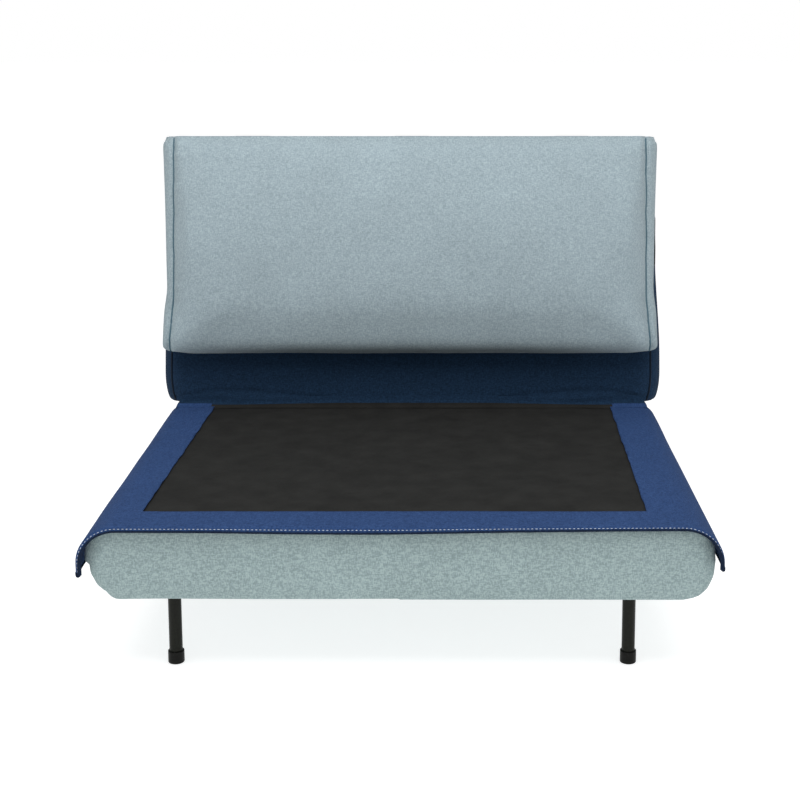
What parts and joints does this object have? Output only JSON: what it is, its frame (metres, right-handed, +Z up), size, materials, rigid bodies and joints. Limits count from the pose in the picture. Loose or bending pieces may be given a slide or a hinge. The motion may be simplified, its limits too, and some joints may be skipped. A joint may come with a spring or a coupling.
{
  "type": "futon sofa bed",
  "caption": "Fold-out sofa bed: a padded seat section on tube legs, a reclining back, a fold-over head cushion and a swinging rear stand.",
  "frame": {"origin": "on the floor, under the middle of the upright sofa", "axes": "+Z up, the front faces -Y, +X is to the right seen from the front"},
  "size_m": [1.0386, 0.973, 0.8215],
  "materials": {
    "light_fabric": "woven upholstery fabric, heathered, matt",
    "dark_fabric": "dense twill upholstery fabric, matt",
    "lining": "thin non-woven lining, matt",
    "foam": "open-cell foam, matt",
    "webbing": "narrow woven webbing",
    "plywood": "plain birch plywood",
    "holder_plastic": "matt moulded",
    "cap_plastic": "satin moulded",
    "glide_rubber": "matt",
    "leg_paint": "black satin powder coat",
    "frame_paint": "dark grey powder coat",
    "zinc_steel": "zinc plated"
  },
  "bodies": {
    "seat": {"fixed_plate_bolts": "zinc_steel", "fixed_plate_left": "zinc_steel", "fixed_plate_right": "zinc_steel", "foot_cap_front_left": "cap_plastic", "foot_cap_front_right": "cap_plastic", "foot_cap_rear_left": "cap_plastic", "foot_cap_rear_right": "cap_plastic", "leg_bolts": "zinc_steel", "leg_front_left": "leg_paint", "leg_front_right": "leg_paint", "leg_plates": "frame_paint", "leg_rear_left": "leg_paint", "leg_rear_right": "leg_paint", "pivot_bolts": "zinc_steel", "pivot_nuts": "zinc_steel", "pivot_washers": "zinc_steel", "seat_cover": "light_fabric", "seat_deck_cover": "dark_fabric", "seat_foam": "foam", "seat_front_rail": "frame_paint", "seat_lining": "lining", "seat_middle_rail": "frame_paint", "seat_rear_rail": "frame_paint", "seat_side_rail_left": "frame_paint", "seat_side_rail_right": "frame_paint", "seat_slat_holders": "holder_plastic", "seat_slats": "plywood"},
    "back": {"back_bottom_rail": "frame_paint", "back_cover": "light_fabric", "back_deck_cover": "dark_fabric", "back_foam": "foam", "back_hinge_leaves": "zinc_steel", "back_leaf_screws": "zinc_steel", "back_side_rail_left": "frame_paint", "back_side_rail_right": "frame_paint", "back_slat_holders": "holder_plastic", "back_slats": "plywood", "back_top_rail": "frame_paint", "head_hinge_pins": "zinc_steel", "moving_plate_bolts": "zinc_steel", "moving_plate_left": "zinc_steel", "moving_plate_right": "zinc_steel", "stand_bracket_bolts": "zinc_steel", "stand_bracket_left": "zinc_steel", "stand_bracket_right": "zinc_steel", "stand_pivot_bolts": "zinc_steel"},
    "head": {"head_board": "plywood", "head_cover": "light_fabric", "head_deck_cover": "dark_fabric", "head_foam": "foam", "head_hinge_leaves": "zinc_steel", "head_leaf_screws": "zinc_steel", "head_pull_strap": "webbing"},
    "stand": {"stand_arm_left": "leg_paint", "stand_arm_right": "leg_paint", "stand_bar": "leg_paint", "stand_glides": "glide_rubber"}
  },
  "joints": [
    {"name": "back_recline", "type": "hinge", "parent": "seat", "child": "back", "pos_m": [0, 0.2655, 0.251], "axis": [-1, 0, 0], "range_deg": [-6, 80.3]},
    {"name": "head_fold", "type": "hinge", "parent": "back", "child": "head", "pos_m": [0, 0.34706, 0.81127], "axis": [-1, 0, 0], "range_deg": [0, 180]},
    {"name": "stand_swing", "type": "hinge", "parent": "back", "child": "stand", "pos_m": [0, 0.4735, 0.69632], "axis": [1, 0, 0], "range_deg": [-6, 80.3]}
  ],
  "couplings": [
    {"joint": "stand_swing", "follows": "back_recline", "ratio": 1}
  ]
}
